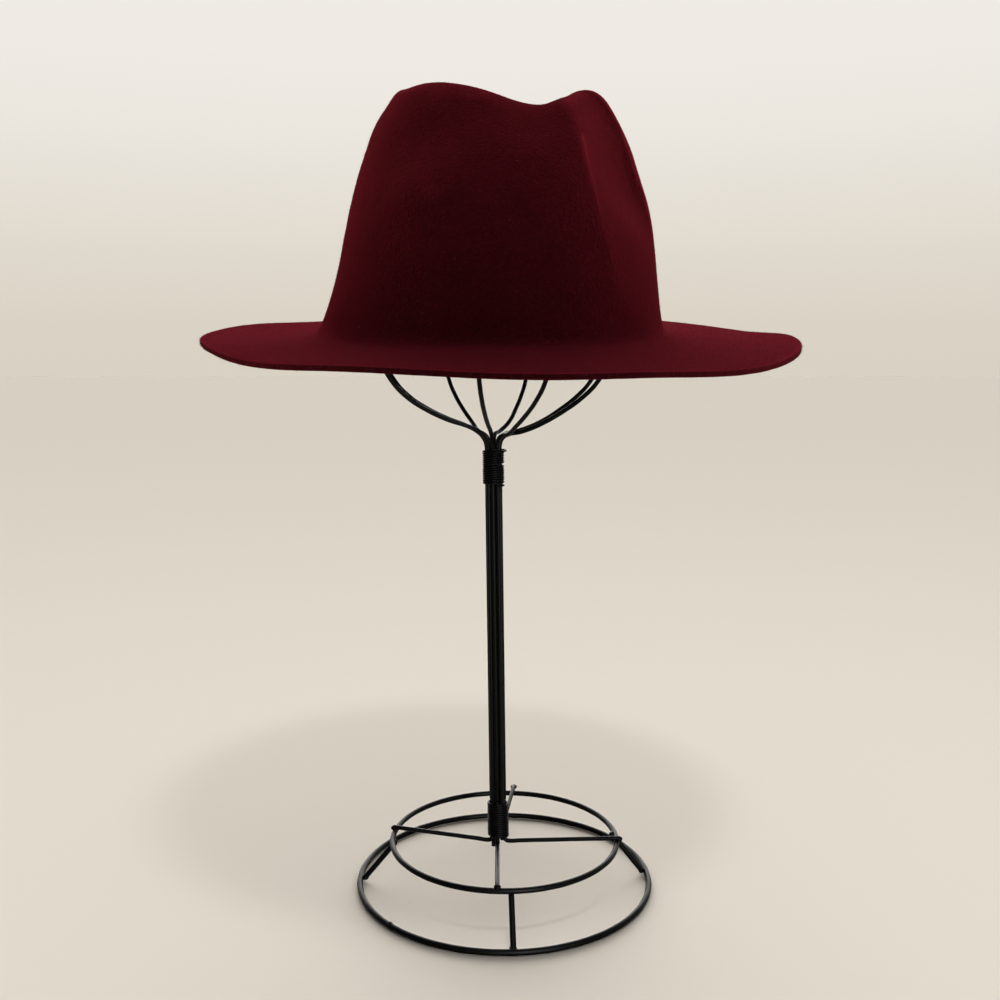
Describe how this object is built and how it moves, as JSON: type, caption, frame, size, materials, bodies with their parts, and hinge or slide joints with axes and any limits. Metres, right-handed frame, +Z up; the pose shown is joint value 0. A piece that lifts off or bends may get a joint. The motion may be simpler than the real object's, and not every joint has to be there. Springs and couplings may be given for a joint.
{
  "type": "wool felt hat on wire stand",
  "caption": "Wide-brimmed wool felt hat with a creased, pinched crown and a raw cut brim edge, held by a black wire dome stand on a two-ring foot.",
  "frame": {"origin": "on the floor under the middle of the brim", "axes": "+Z up; +X the way the hat's front points; -Y the hat's right side, which hangs lower"},
  "size_m": [0.343, 0.3214, 0.4691],
  "materials": {
    "wool_felt": "soft felt with a short raised nap and raw cut edges",
    "black_wire": "satin black paint on steel wire"
  },
  "bodies": {
    "root": {"felt_hat": "wool_felt", "base_frame": "black_wire", "loop_wire_1": "black_wire", "loop_wire_2": "black_wire", "loop_wire_3": "black_wire", "loop_wire_4": "black_wire", "lower_wrap": "black_wire", "upper_wrap": "black_wire"}
  },
  "joints": []
}
